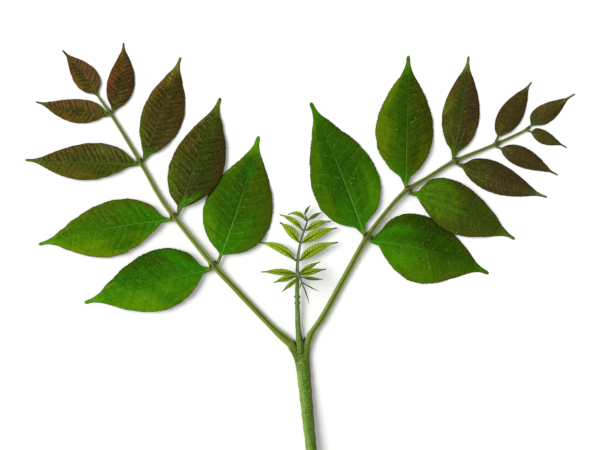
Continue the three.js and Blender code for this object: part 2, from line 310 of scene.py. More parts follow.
def bladeMaterial(look):
    material, tree = newMaterial(look["name"])
    grain = look["grain"]
    detail = bladeDetail
    place = readAttribute(tree, "place")
    shifts = stretched(tree, place, (1.0, -1.0, 1.0))
    count, fromRib, plainness = partsOf(tree, "veins")
    ribShow, veinShow, stalkShow = partsOf(tree, "marks")

    # Side veins, worn away here and there, the midrib and the margin.
    worn = remap(tree, noiseOf(tree, place, 0.3 * grain), *look["worn"], 0.1, 1.0)
    shifted = calculate(tree, "FRACT", plus(tree, count, 0.5))
    sideVein = calculate(tree, "ABSOLUTE", calculate(tree, "SUBTRACT", shifted, 0.5))
    veinLine = remap(tree, sideVein, *look["veinWide"], 1.0, 0.0)
    for part in (plainness, veinShow, worn):
        veinLine = times(tree, veinLine, part)
    ribLine = remap(tree, calculate(tree, "ABSOLUTE", fromRib), *look["ribWide"], 1.0, 0.0)
    ribLine = times(tree, ribLine, ribShow)
    marginLine = remap(tree, partsOf(tree, "place")[2], 0.05, look["marginWide"], 1.0, 0.0)

    # Light and dark at three sizes.
    fine = noiseOf(tree, place, look["grainSize"] * grain, 4.0, 0.75)
    grained = remap(tree, veinShow, 0.0, 1.0, detail["faint"], 1.0)
    mottling = remap(tree, fine, *noiseSpan, -look["mottle"], look["mottle"])
    gain = plus(tree, times(tree, mottling, grained), 1.0)
    for scale, strength in ((0.6, look["patchy"]), (0.2, 0.1)):
        broad = noiseOf(tree, place, scale * grain)
        gain = plus(tree, gain, remap(tree, broad, *noiseSpan, -strength, strength))
    base = mixColour(tree, 1.0, readAttribute(tree, "tint", 0), gain, "MULTIPLY")

    # Warm patches, and small light and dark flecks.
    for where, scale, octaves, span, shares, shade in (
            (shifts, 0.9, 3.0, (0.48, 0.68), (0.0, look["warmShare"]), rgba(look["warm"])),
            (place, 3.4, 1.0, (0.6, 0.72), (0.0, look["fleckShare"]), rgba(look["fleck"])),
            (shifts, 2.6, 1.0, (0.26, 0.38), (look["dark"], 0.0), detail["darkFleck"])):
        spots = remap(tree, noiseOf(tree, where, scale * grain, octaves), *span, *shares)
        base = mixColour(tree, times(tree, spots, grained), base, shade)

    # The lines, the finest being a network between the side veins.
    network = cellsOf(tree, place, 0.8 * grain, "DISTANCE_TO_EDGE")
    network = remap(tree, network, 0.0, 0.12, 1.0, 0.0)
    for line, share, shade in (
            (network, detail["networkShare"], "vein"), (veinLine, look["veinShare"], "vein"),
            (ribLine, look["ribShare"], "rib"), (marginLine, look["marginShare"], "margin"),
            (stalkShow, detail["stalkShare"], "stalk")):
        base = mixColour(tree, times(tree, line, share), base, rgba(look[shade]))

    # Pale pores, closer together in some places.
    dots = dotsOf(tree, place, 0.5 * grain, *detail["poreSize"], detail["poreChance"])
    crowd = remap(tree, noiseOf(tree, shifts, 0.16 * grain), 0.48, 0.62, *detail["poreShare"])
    base = mixColour(tree, times(tree, dots, crowd), base, rgba(look["speckle"]))

    grooves = plus(tree, times(tree, veinLine, 0.5), times(tree, network, 0.3))
    height = calculate(tree, "SUBTRACT", times(tree, fine, 0.5), grooves)
    finishMaterial(tree, base, fine, height, look)
    return material


bladeMaterials = {slot: bladeMaterial(look) for slot, look in bladeFinish.items()}
print("blade materials ready:", len(bladeMaterials))

# Each leaflet's colours, seen from base to tip: its base, as far as reach, its left and right
# halves with their rims, and its tip. gap is the side veins' spacing in millimetres, ridge how
# high the skin stands between them on each half and how strong the painted shade and highlight
# beside them are, and rib and veins how plainly they show. A patch is (share along, share
# across, size, colour).
leafletLooks = {
    "left_leaflet_1_outer": dict(
        base="2c7005", reach=0.45, left="3f7603", right="2a6304", tip="518b07", gap=5.4,
        ridge=(0.2, 0.3), rib=0.4, veins=(0.55, 0.7), rims=("5a7a03", "344a05"),
        patches=[
            (0.46, -0.85, 0.15, "204c04"), (0.6, 0.85, 0.22, "588504"),
            (0.82, 0.0, 0.12, "427e04"), (0.82, -0.7, 0.1, "5e8412")]),
    "left_leaflet_1_inner": dict(
        base="347604", reach=0.42, left="295403", right="345604", tip="538309", gap=4.4,
        ridge=(0.4, 0.25), rib=0.9, veins=(0.9, 0.7), rims=("517604", "4b5b07"),
        patches=[
            (0.22, 0.85, 0.1, "507c06"), (0.28, -0.4, 0.13, "346703"),
            (0.64, 0.1, 0.18, "254a04"), (0.66, -0.8, 0.13, "3f4e08"),
            (0.82, 0.75, 0.1, "405406"), (0.55, 0.85, 0.13, "2c5003"),
            (0.83, -0.85, 0.08, "5c6014"), (0.6, -0.4, 0.1, "3e5006"),
            (0.73, 0.02, 0.06, "1c5c0c")]),
    "left_leaflet_2_outer": dict(
        base="306e05", reach=0.42, left="3d6a03", right="376304", tip="548907", gap=3.8,
        ridge=(0.3, 0.5), rib=0.6, veins=(0.55, 0.9), rims=("647c05", "4c5808"),
        patches=[
            (0.7, 0.8, 0.2, "6c8606"), (0.5, -0.85, 0.2, "445b06"), (0.75, 0.2, 0.14, "487603"),
            (0.3, 0.2, 0.13, "2e5a02"), (0.8, -0.8, 0.13, "587008")]),
    "left_leaflet_2_inner": dict(
        base="46880a", reach=0.17, left="324809", right="273c08", tip="667a24", gap=3.2,
        ridge=(1.5, 0.7), rib=0.6, veins=(1.0, 0.4), rims=("4e5710", "403b11"),
        patches=[
            (0.24, 0.85, 0.13, "52720c"), (0.6, -0.9, 0.16, "3c3210"), (0.5, 0.1, 0.18, "263e0a"),
            (0.64, 0.85, 0.12, "463b14"), (0.82, 0.0, 0.1, "3e5112"),
            (0.74, 0.85, 0.08, "76581c")]),
    "left_leaflet_3_outer": dict(
        base="406a0d", reach=0.16, left="3b4d0c", right="484f17", tip="627825", gap=2.6,
        ridge=(0.7, 2.2), rib=0.8, veins=(0.4, 1.0), rims=("5c5d17", "55491d"),
        patches=[
            (0.6, 0.85, 0.22, "605917"), (0.76, 0.3, 0.14, "555d1d"),
            (0.27, -0.7, 0.13, "566328"), (0.66, -0.8, 0.12, "5a4b20"),
            (0.55, -0.35, 0.13, "363c0d")]),
    "left_leaflet_3_inner": dict(
        base="377608", reach=0.15, left="403d14", right="35310e", tip="7a8434", gap=2.7,
        ridge=(1.9, 0.9), rib=0.6, veins=(1.0, 0.6), rims=("5a5915", "4d3315"),
        patches=[
            (0.22, 0.85, 0.13, "4f5f0b"), (0.68, 0.85, 0.07, "743f14"),
            (0.87, 0.1, 0.06, "7c741c"), (0.7, 0.3, 0.07, "1c240a"), (0.82, 0.35, 0.12, "7c7022"),
            (0.6, 0.35, 0.1, "262b0b"), (0.28, -0.85, 0.13, "555124"),
            (0.5, -0.9, 0.14, "4b371b")]),
    "left_leaflet_4_outer": dict(
        base="465d14", reach=0.2, left="523f10", right="694f29", tip="5e6834", gap=2.3,
        ridge=(1.6, 1.9), rib=0.2,
        patches=[
            (0.5, 0.85, 0.2, "705319"), (0.42, 0.06, 0.16, "2c350a"),
            (0.66, -0.75, 0.12, "6a4426"), (0.25, 0.7, 0.1, "4c5412"), (0.82, 0.6, 0.1, "605c2c"),
            (0.8, -0.5, 0.1, "584e1e"), (0.8, 0.05, 0.06, "3a380c")]),
    "left_leaflet_4_inner": dict(
        base="4a4c14", reach=0.28, left="523016", right="462c15", tip="74601f", gap=2.2,
        ridge=(2.4, 1.9), rib=0.15,
        patches=[
            (0.5, 0.85, 0.16, "783a24"), (0.42, 0.05, 0.16, "2a200c"),
            (0.81, 0.25, 0.12, "8c6624"), (0.25, -0.4, 0.1, "40400f")]),
    "left_leaflet_terminal": dict(
        base="53531b", left="4a360e", right="60462a", tip="5c6335", gap=2.1, ridge=(1.8, 1.6),
        rib=0.35,
        patches=[
            (0.45, 0.85, 0.16, "7c501a"), (0.55, -0.6, 0.16, "6c4630"),
            (0.5, 0.2, 0.13, "36280c"), (0.82, 0.1, 0.1, "5e4a1e"), (0.29, 0.9, 0.1, "6e5a30")]),
    "right_leaflet_1_inner": dict(
        base="306e05", reach=0.35, left="255202", right="2a5202", tip="397204", gap=6.0,
        ridge=(0.2, 0.2), rib=0.9, veins=(0.4, 0.5), rims=("517202", "375f02"),
        patches=[
            (0.52, 0.9, 0.2, "3f5f02"), (0.25, -0.8, 0.15, "4b7a04"), (0.5, 0.0, 0.14, "1e4b03"),
            (0.74, -0.85, 0.13, "374c06"), (0.83, 0.75, 0.08, "4c7406")]),
    "right_leaflet_1_outer": dict(
        base="357402", reach=0.42, left="274802", right="345702", tip="3d6106", gap=6.0,
        ridge=(0.25, 0.3), rib=0.35, veins=(0.5, 0.45), rims=("354005", "4f6b02"),
        patches=[
            (0.27, -0.55, 0.16, "4a7e03"), (0.5, 0.8, 0.18, "1e3302"),
            (0.46, -0.9, 0.16, "4c6c03"), (0.82, 0.6, 0.1, "3e4c0a"),
            (0.74, -0.85, 0.13, "4c5806"), (0.6, 0.2, 0.12, "223f02")]),
    "right_leaflet_2_inner": dict(
        base="346703", reach=0.25, left="2e5203", right="324006", tip="486d0b", gap=4.6,
        ridge=(0.3, 0.35), rib=0.5, veins=(0.3, 0.5), rims=("606d06", "49430c"),
        patches=[
            (0.42, 0.9, 0.24, "566c04"), (0.5, 0.12, 0.16, "274803"),
            (0.24, -0.8, 0.11, "4d5b09"), (0.6, -0.9, 0.18, "3b3908"),
            (0.82, 0.1, 0.1, "325404")]),
    "right_leaflet_2_outer": dict(
        base="508c04", reach=0.46, left="344c0a", right="374f0a", tip="5e7619", gap=3.8,
        ridge=(0.3, 0.3), rib=0.3, veins=(0.15, 0.3), rims=("3a450e", "48570e"),
        patches=[
            (0.27, 0.35, 0.15, "466a04"), (0.27, -0.4, 0.14, "4a7404"),
            (0.75, 0.3, 0.14, "344b0d"), (0.66, -0.85, 0.12, "464f15")]),
    "right_leaflet_3_inner": dict(
        base="446a0d", reach=0.16, left="3c4510", right="382f1b", tip="728239", gap=3.0,
        ridge=(0.4, 0.35), rib=0.6, veins=(0.3, 0.3), rims=("575a1a", "422f1c"),
        patches=[
            (0.46, 0.8, 0.11, "606618"), (0.68, 0.85, 0.12, "533d1b"),
            (0.45, 0.1, 0.13, "31410c"), (0.27, -0.85, 0.11, "48491e"),
            (0.82, -0.4, 0.1, "4e3c20")]),
    "right_leaflet_3_outer": dict(
        base="486714", reach=0.16, left="3e341a", right="443d20", tip="637037", gap=2.4,
        ridge=(0.4, 0.4), rib=0.4, veins=(0.3, 0.4), rims=("372b14", "443b1b"),
        patches=[
            (0.26, -0.4, 0.12, "4a5c12"), (0.27, 0.4, 0.11, "3e4813"),
            (0.55, 0.4, 0.15, "352b17"), (0.82, 0.0, 0.12, "4c4228")]),
    "right_leaflet_4_inner": dict(
        base="4b5322", left="423919", right="3e3119", tip="69723b", gap=1.8, ridge=(0.6, 0.5),
        rib=0.3, veins=(0.35, 0.3),
        patches=[
            (0.82, 0.3, 0.1, "565325"), (0.5, 0.7, 0.12, "49371a")]),
    "right_leaflet_4_outer": dict(
        base="4f5729", left="403319", right="42371d", tip="605e37", gap=1.7, ridge=(0.5, 0.5),
        rib=0.3, veins=(0.3, 0.35),
        patches=[
            (0.3, -0.3, 0.14, "403f1b"), (0.82, 0.2, 0.1, "554929")]),
    "right_leaflet_5_outer": dict(
        base="555f2d", left="443e19", right="49451e", tip="6b6e42", gap=1.2, ridge=(0.5, 0.5),
        rib=0.3, veins=(0.4, 0.4), patches=[]),
    "right_leaflet_terminal": dict(
        base="484f1d", left="4b411d", right="443b19", tip="7f8854", gap=1.5, ridge=(0.6, 0.5),
        rib=0.3, veins=(0.5, 0.3),
        patches=[
            (0.42, 0.85, 0.18, "584f27"), (0.8, 0.1, 0.12, "6c7040")]),
}
youngLook = dict(
    base="7c9a1a", left="92b01e", right="88a61e", tip="505030", gap=1.5, ridge=(1.6, 1.0),
    rib=1.2, patches=[(0.45, 0.0, 0.18, "9ab828")])
duskyYoungLook = dict(
    base="66783a", left="6f8432", right="5c6e30", tip="50523c", gap=1.2, ridge=(1.0, 0.6),
    rib=1.0, patches=[])
duskyYoung = ("back_young_leaflet_4_right", "back_young_leaflet_terminal",
              "front_young_leaflet_3_right", "front_young_leaflet_4_left",
              "front_young_leaflet_4_right", "front_young_leaflet_terminal")

bladeShape = {
    # millimetres between rows of corners, along and across
    "spacing": {"mature": (0.36, 0.5), "young": (0.3, 0.28)},
    "thickness": {"mature": 0.26, "young": 0.2},
    "largestHalf": 18,  # half-width of the largest leaflets
    "thinning": 0.72,  # how much of its thickness the midrib loses
    "quilting": 0.035,  # its height over the vein spacing, where ridge is 1
    "rootDepth": 1.1,  # how far a leaflet's own stalk reaches into the leaf stalk
    "teeth": (0.32, 2.6),  # height and spacing on the largest leaflets
    "toothRise": 0.72,  # share of its length over which a tooth rises
    "wander": 0.16,  # slower unevenness of the margins
    "channel": 0.16,  # how deep the midrib lies on top
    "ribBelow": 0.42,  # how far it stands out underneath
    "wave": 0.35,  # rise and fall of the margins
    "veinSlant": 0.5,
    "veinCurve": 0.12,
    "stagger": 0.45,  # how far the right side's veins are ahead of the left's, in spacings
    "under": ("8fa860", 0.45),  # what the underside's colours pale towards, and how much
    # Over 1, colours darker than midTone get darker and purer.
    "depth": {"green_leaflet": 1.2, "bronze_leaflet": 1.06, "young_leaflet": 1.1},
    "midTone": 0.1,
}


def tintsOf(look, share, across, seed):
    wander = 0.07 * ripple(seed, share * 9 + across * 2, 3)
    wander = wander + 0.05 * ripple(seed + 1, across * 5, 2)
    tint = mixed(look["right"], look["left"], smooth(-0.3, 0.3, across + wander))
    reach = look.get("reach", 0.3)
    tint = mixed(tint, look["base"], 1 - smooth(0.03, reach, share + wander))
    inBody = smooth(0.03, 0.14, share) * (1 - smooth(0.84, 0.94, share))
    for hand, shade in zip((1, -1), look.get("rims", ())):
        rim = smooth(0.5, 0.95, hand * across + 2 * wander)
        tint = mixed(tint, shade, 0.85 * rim * inBody)
    for where, sideways, size, shade in look["patches"]:
        away = ((share + 0.5 * wander - where) / size) ** 2
        away = away + ((across - sideways + wander) / (size * 2.6)) ** 2
        tint = mixed(tint, shade, 0.9 * np.exp(-away))
    return mixed(tint, look["tip"], smooth(0.8, 0.95, share))


# The five lines that a leaflet's rings give: margins, midrib and the lines between.
def leafletLines(node, beside):
    rings = ringsOf(node, beside)
    centres = rings.mean(1)
    tangents = unit(np.gradient(centres, axis=0))
    widest = np.argmax(np.linalg.norm(rings - centres[:, None], axis=2).max(1))
    flat = rings[widest] - centres[widest]
    sideways = np.linalg.svd(flat)[2][0]
    face = np.cross(tangents[widest], sideways)
    face = face * np.sign(face[2])
    sides = unit(np.cross(face, tangents))
    reach = np.einsum("rcx,rx->rc", rings - centres[:, None], sides)
    order = np.argsort(-reach, axis=1)
    rings = np.take_along_axis(rings, order[..., None], axis=1)
    lines = [rings[:, low:high].mean(1) for low, high in ((0, 1), (1, 3), (3, 5), (5, 7), (7, 8))]
    return np.stack(lines, axis=1), face


def growLeaflet(node, beside, look, grade, seed):
    shape = bladeShape
    lines, face = leafletLines(node, beside)
    middle = lines[:, 2]
    length = distancesAlong(middle)[-1] / mm
    tipHalf = np.linalg.norm(lines[-2, 0] - middle[-2]) / mm
    rod = np.linalg.norm(lines[0, 0] - middle[0]) / mm
    widest = np.linalg.norm(lines[:, [0, 4]] - middle[:, None], axis=2).max() / mm
    size = widest / shape["largestHalf"]

    # The drip tip keeps its width almost to the end, and then rounds off.
    lines[-1] = middle[-1] + (lines[-2] - middle[-2]) * 0.8
    rounding = 1 - min(1.5 * tipHalf / length, 0.12)
    rowGap, columnGap = shape["spacing"][grade]
    rows = max(int(length * rounding / rowGap), 24)
    turn = np.linspace(0, math.pi / 2, 9)[1:]
    shares = np.append(np.linspace(0, rounding, rows), rounding + (1 - rounding) * np.sin(turn))
    blunt = np.append(np.ones(rows), np.maximum(np.cos(turn), 0.04))
    sampled = alongCurve(lines, shares)
    # Up to the second ring it runs straight, or the widening blade would pinch the stalk.
    firstPart = np.clip(shares * (len(lines) - 1), 0, 1)[:, None, None]
    sampled = np.where(firstPart < 1, lines[0] + (lines[1] - lines[0]) * firstPart, sampled)

    # Columns run from the left margin over the midrib to the right margin. The sheet is curved
    # through the three lines of its side, of which the middle one lies c of the way out.
    halfColumns = max(int(widest / columnGap), 6)
    steps = np.append(np.linspace(0, 1, halfColumns) ** 1.15 * 0.97, [0.987, 1.0])
    across = np.concatenate([steps[::-1], -steps[1:]])
    leftHalf = across >= 0
    a = np.abs(across)
    c = math.sqrt(0.5)
    weights = ((a - c) * (a - 1) / c, a * (a - 1) / (c * (c - 1)), a * (a - c) / (1 - c))
    middle = sampled[:, 2:3]
    quarter = np.where(leftHalf[:, None], sampled[:, 1:2], sampled[:, 3:4])
    margin = np.where(leftHalf[:, None], sampled[:, 0:1], sampled[:, 4:5])
    sheet = sum(line * weight[:, None] for line, weight in zip((middle, quarter, margin), weights))
    sheet = middle + (sheet - middle) * blunt[:, None, None]

    # A short root reaches into the leaf stalk.
    start = unit(middle[1, 0] - middle[0, 0])
    root = [sheet[0] - start * shape["rootDepth"] * mm * size ** 0.4 * part
            for part in (1.0, 0.66, 0.33)]
    sheet = np.concatenate([root, sheet])
    shares = np.append(np.zeros(3), shares)[:, None]
    middle = sheet[:, halfColumns + 1]

    y = distancesAlong(middle) / mm
    y = (y - y[3])[:, None]
    x = np.linalg.norm(sheet - middle[:, None], axis=2) / mm * np.sign(across)
    half = np.abs(x[:, [0, -1]])
    halfHere = np.where(leftHalf, half[:, :1], half[:, 1:])
    width = half.max(1)[:, None]
    blade = np.maximum(smooth(1.25 * rod, 2.6 * rod + 0.3, width), smooth(0.25, 0.4, shares))
    body = smooth(1.5 * tipHalf, 3.5 * tipHalf, width) * blade  # 1 in the broad part

    # Side veins leave the midrib at a slant and bend towards the tip.
    gap = look["gap"]
    slant = np.abs(x) * shape["veinSlant"] + x ** 2 / widest * shape["veinCurve"]
    count = (y - slant) / gap + shape["stagger"] * (x < 0) + 0.12 * ripple(seed + 5, y / gap, 3.1)

    tangents = unit(np.gradient(middle, axis=0))
    sides = unit(np.cross(face, tangents))
    normals = unit(np.cross(tangents, sides))[:, None]

    # Teeth and a slow wander of the margin.
    toothHeight = shape["teeth"][0] * size ** 0.6
    toothGap = shape["teeth"][1] * max(size, 0.35)
    rise = shape["toothRise"]
    for hand, (sign, here) in enumerate(((1, leftHalf), (-1, ~leftHalf))):
        beat = y / toothGap + 0.35 * ripple(seed + 11 + hand, y, 5 * toothGap)
        saw = beat - np.floor(beat)
        tooth = np.minimum(saw / rise, (1 - saw) / (1 - rise)) - 0.5
        push = toothHeight * tooth * (0.7 + 0.5 * ripple(seed + 21 + hand, y, 3 * toothGap))
        push = push + shape["wander"] * size * ripple(seed + 31 + hand, y, 9 * size + 1)
        outward = (sides * sign)[:, None] * (push * body)[..., None]
        sheet = sheet + outward * (a ** 10 * here)[:, None] * mm

    # Quilting between the veins, and margins that rise and fall.
    folded = np.where(leftHalf, *look["ridge"])
    ridge = folded * shape["quilting"] * gap * (0.5 if grade == "young" else 1)
    fromRib = smooth(0.02, 0.2, a) * (1 - 0.75 * smooth(0.72, 1.0, a))
    quilt = ridge * (0.5 - 0.5 * np.cos(2 * math.pi * count)) * fromRib * body
    waves = np.where(leftHalf, *(ripple(seed + step, y / size, 22) for step in (41, 42)))
    quilt = quilt + shape["wave"] * size * waves * a ** 2 * body
    sheet = sheet + normals * quilt[..., None] * mm

    # Thickness: a round stalk that thins into the midrib, and a blade with a sharp margin.
    ribHalf = rod * (1 - shape["thinning"] * smooth(0, 0.9, shares))
    rib = np.sqrt(np.clip(1 - (x / ribHalf) ** 2, 0, 1)) * ribHalf * 2 * shape["ribBelow"]
    channel = shape["channel"] * size ** 0.5 * np.exp(-(x / (ribHalf * 0.55)) ** 2) * body
    skin = shape["thickness"][grade] / 2 * np.sqrt(1 - a ** 14) * np.minimum(1, halfHere / rod)
    stalk = rod * np.sqrt(1 - a ** 2) * (1 - blade)
    above = skin * blade + stalk - channel
    below = (skin + rib) * blade + stalk
    closing = np.append(np.ones(rows + 3), blunt[rows:] ** 0.5)[:, None]
    top = sheet + normals * (above * closing)[..., None] * mm
    under = sheet - normals * (below * closing)[..., None] * mm
    top[..., 2] = np.maximum(top[..., 2], clearance * 3)
    under[..., 2] = np.maximum(under[..., 2], clearance)

    flat = 0 * x
    place = np.stack([y + flat, x, halfHere - np.abs(x)], axis=2)
    plain = body * smooth(0.0, 0.1, a) * (1 - 0.85 * smooth(0.35, 0.9, a))
    veins = np.stack([count, x / ribHalf, plain], axis=2)
    ribShow = look["rib"] * (1 - 0.8 * smooth(0.25, 0.95, shares))
    veinShow = np.where(leftHalf, *look.get("veins", (1.0, 1.0)))
    marks = np.stack([ribShow + flat, veinShow + flat, 1 - blade + flat], axis=2)
    tint = tintsOf(look, shares + flat, across + flat, seed)
    tint = shape["midTone"] * (tint / shape["midTone"]) ** shape["depth"][slotOf[node]]

    # Painted shade along one side of each side vein, a painted highlight along the other.
    offVein = count - np.round(count)
    uneven = np.clip(0.6 + 0.8 * ripple(seed + 51, count * 0.8 + x / (3 * gap), 2.6), 0, 1.5)
    shade = hump(offVein, 0.2, 0.17) - 0.45 * hump(offVein, -0.16, 0.14)
    shade = 0.5 * folded * fromRib * body * uneven * shade
    tint = tint * np.clip(1 - shade, 0.25, 1.5)[..., None]
    paler = mixed(tint, *shape["under"])

    # The underside shares the margins' corners with the top.
    topIndex = np.arange(x.size).reshape(x.shape)
    underIndex = topIndex.copy()
    underIndex[:, 1:-1] = x.size + np.arange(topIndex[:, 1:-1].size).reshape(len(x), -1)

    def joined(upper, lower):
        return np.concatenate([upper.reshape(-1, 3), lower[:, 1:-1].reshape(-1, 3)])

    faces = gridFaces(topIndex) + gridFaces(underIndex[:, ::-1])
    faces.append(topIndex[0, ::-1].tolist() + underIndex[0, 1:-1].tolist())
    faces.append(topIndex[-1].tolist() + underIndex[-1, -2:0:-1].tolist())
    looks = {"tint": joined(tint, paler), "place": joined(place, place),
             "veins": joined(veins, veins), "marks": joined(marks, marks)}
    makePiece(node, joined(top, under), faces, looks, bladeMaterials)


def leafletsOf(leaf):
    return sorted(name for name in slotOf if name.startswith(leaf + "_leaflet_"))


leafNames = {"left": "mature", "right": "mature", "back_young": "young", "front_young": "young"}
leafletCount = 0
for leaf, grade in leafNames.items():
    stalkCorners = cornersOf(leaf + "_leaf_stalk")
    for node in leafletsOf(leaf):
        leafletCount += 1
        look = duskyYoungLook if node in duskyYoung else leafletLooks.get(node, youngLook)
        growLeaflet(node, stalkCorners, look, grade, 100 * leafletCount)
print("leaflets grown:", leafletCount)

# Stalks: "place" is millimetres along and around, and the radius as a share of the full one.
stalkFinish = {
    "stem_green": dict(
        name="greenStem", grain=1.0,
        fibre=0.3, mottle=0.42, pore="c4d48c", poreShare=0.8, speck="1e2c08", speckShare=0.8,
        bump=0.6, relief=0.0003, gloss=0.25, glossColour="d8e8b0", rough=(0.45, 0.65)),
    "stalk_green": dict(
        name="greenStalk", grain=1.3,
        fibre=0.12, mottle=0.1, pore="c4cc8c", poreShare=0.35, speck="3f4818", speckShare=0.35,
        bump=0.4, relief=0.0002, gloss=0.22, glossColour="d8e0b0", rough=(0.45, 0.62)),
    "young_stalk": dict(
        name="youngStalk", grain=2.4,
        fibre=0.1, mottle=0.1, pore="d4dca0", poreShare=0.3, speck="4a5424", speckShare=0.3,
        bump=0.3, relief=0.0001, gloss=0.22, glossColour="e0e8c0", rough=(0.45, 0.6)),
    "dark_bud": dict(
        name="darkBud", grain=3.0,
        fibre=0.2, mottle=0.3, pore="5c5a38", poreShare=0.3, speck="141408", speckShare=0.6,
        bump=0.7, relief=0.0002, gloss=0.2, glossColour="b0a880", rough=(0.6, 0.8)),
}


def stalkMaterial(look):
    material, tree = newMaterial(look["name"])
    grain = look["grain"]
    place = readAttribute(tree, "place")
    fibres = noiseOf(tree, stretched(tree, place, (0.12 * grain, 2.6 * grain, 1.0)), 1.0, 3.0, 0.6)
    fine = noiseOf(tree, stretched(tree, place, (grain, grain, 2.0)), 1.6, 3.0, 0.6)
    gain = plus(tree, remap(tree, fibres, *noiseSpan, 1 - look["fibre"], 1 + look["fibre"]),
                remap(tree, fine, *noiseSpan, -look["mottle"], look["mottle"]))
    base = mixColour(tree, 1.0, readAttribute(tree, "tint", 0), gain, "MULTIPLY")
    dots = []
    for stretch, size, share, shade, chance in (
            ((0.7, 1.1, 0.5), 0.17, look["poreShare"], look["pore"], 0.55),
            ((1.2, 1.5, 0.9), 0.2, look["speckShare"], look["speck"], 0.4)):
        where = stretched(tree, place, tuple(part * grain for part in stretch))
        dots.append(dotsOf(tree, where, 1.0, size * 0.6, size * 1.5, chance))
        base = mixColour(tree, times(tree, dots[-1], share), base, rgba(shade))
    height = plus(tree, times(tree, fibres, 0.7), times(tree, dots[0], 0.6))
    finishMaterial(tree, base, fine, height, look)
    return material


stalkMaterials = {slot: stalkMaterial(look) for slot, look in stalkFinish.items()}
print("stalk materials ready:", len(stalkMaterials))


# A stalk's centre line, and its half-width and half-height at each ring.
def stalkLine(node, beside):
    rings = ringsOf(node, beside)
    centres = rings.mean(1)
    tangents = unit(np.gradient(centres, axis=0))
    reference = up if abs(tangents[0] @ up) < 0.7 else np.array([0.0, 1.0, 0.0])
    sides = unit(np.cross(reference, tangents))
    normals = np.cross(tangents, sides)
    spread = rings - centres[:, None]
    wide = np.sqrt(2 * np.mean(np.einsum("rcx,rx->rc", spread, sides) ** 2, axis=1))
    tall = np.sqrt(2 * np.mean(np.einsum("rcx,rx->rc", spread, normals) ** 2, axis=1))
    return centres, wide, tall, reference


def evenly(points, spacing):  # places along a bent line, spacing apart, as shares of its points
    pace = distancesAlong(points)
    count = max(int(pace[-1] / spacing), 8)
    return np.interp(np.linspace(0, pace[-1], count), pace, np.linspace(0, 1, len(points)))


# shapeOf gives the radius's share at (mm along, angle, share along), and tintOf the colour there.
def growStalk(node, line, sidesAround, spacing, shapeOf, tintOf, ends=(0.0, 0.6)):
    centres, wide, tall, reference = line
    fine = alongCurve(centres, np.linspace(0, 1, 12 * len(centres)))
    shares = evenly(fine, spacing * mm)
    middle = alongCurve(centres, shares)
    halves = alongCurve(np.stack([wide, tall], axis=1), shares)
    pace = distancesAlong(middle) / mm
    tangents = unit(np.gradient(middle, axis=0))
    sides = unit(np.cross(reference, tangents))
    normals = np.cross(tangents, sides)
    angles = np.linspace(0, 2 * math.pi, sidesAround, endpoint=False)
    y, angle = np.meshgrid(pace, angles, indexing="ij")
    radius = shapeOf(y, angle, shares[:, None])
    tint = tintOf(y, angle, shares[:, None])

    # Both ends round off over a little of their length: 0 leaves a flat cut.
    for along, over in ((pace, ends[0]), (pace[-1] - pace, ends[1])):
        if over:
            closed = 1 - np.clip(1 - along / over, 0, 0.999) ** 2
            radius = radius * np.sqrt(closed)[:, None]
    sideways = (halves[:, :1] * np.cos(angle) * radius)[..., None]
    upwards = (halves[:, 1:] * np.sin(angle) * radius)[..., None]
    points = middle[:, None] + sides[:, None] * sideways + normals[:, None] * upwards
    around = angle * halves[:, :1] / mm
    place = np.stack([y, around, np.ones_like(y)], axis=2)

    # The cut end is a disc of smaller and smaller rings.
    if ends[0] == 0:
        rim = points[0]
        for step, shade in stemShape["cut"]:
            ring = middle[0] + (rim - middle[0]) * step
            disc = np.stack([y[0], around[0] * step, np.full(sidesAround, step)], axis=1)
            points = np.concatenate([ring[None], points])
            place = np.concatenate([disc[None], place])
            tint = np.concatenate([np.tile(colour(shade), (1, sidesAround, 1)), tint])

    points[..., 2] = np.maximum(points[..., 2], clearance)
    looks = {"tint": tint, "place": place}
    makePiece(node, points, tubeFaces(len(points), sidesAround), looks, stalkMaterials)


def speckled(tint, seed, strength):  # each corner a little lighter or darker
    grains = np.random.default_rng(seed).normal(0, 1, tint.shape[:2])
    return tint * np.clip(1 + grains * strength, 0.4, 1.9)[..., None]


def fromAngle(angle, degrees):  # degrees away from one direction, -180 to 180
    return (np.degrees(angle) - degrees + 180) % 360 - 180


stemShape = {
    # left: painted highlight on the sunlit side; right: partly own colour, partly painted shade
    "left": "86a04a", "middle": "4e7a18", "right": "60641f",
    "node": "52652a", "internode": "68863a", "scale": "2c2a16",
    "wander": 0.03,
    "waist": 0.12,  # how much it narrows between the feet of the two leaves
    "scales": ((24.6, 0.55), (21.6, 0.42)),  # millimetres past the node, and height
    "scaleSides": (4, 176),  # degrees
    # The cut end's rings, by share of its radius: under the bark, wood and pith.
    "cut": ((0.93, "a8b878"), (0.86, "a8b878"), (0.7, "d3d9b4"), (0.5, "d3d9b4"),
            (0.3, "e2e0c4"), (0.12, "e2e0c4")),
}
stemCorners = cornersOf("stem")
stemBase = np.array([stemCorners[np.argmin(stemCorners[:, 1])]])
stemLine = stalkLine("stem", stemBase)
# The two leaves leave the stem 5 millimetres past the left stalk's lowest corner.
nodeY = cornersOf("left_leaf_stalk")[:, 1].min() / mm + 5


def stemLevels(share):  # millimetres past the leaf node
    return np.interp(share, np.linspace(0, 1, len(stemLine[0])), stemLine[0][:, 1] / mm) - nodeY


def stemRadius(y, angle, share):
    past = stemLevels(share)
    radius = 1 + stemShape["wander"] * ripple(3, y + 2 * np.cos(angle), 11)
    radius = radius + 0.012 * np.cos(7 * angle + 0.1 * y)
    radius = radius + 0.02 * ripple(5, y + np.sin(angle), 3.4)
    radius = radius - stemShape["waist"] * hump(past, -2.5, 4.5) * np.abs(np.cos(angle))
    for level, height in stemShape["scales"]:
        for side in stemShape["scaleSides"]:
            reach = hump(fromAngle(angle, side), 0, 26)
            radius = radius + height * hump(past, level, 0.5) * reach
    return radius


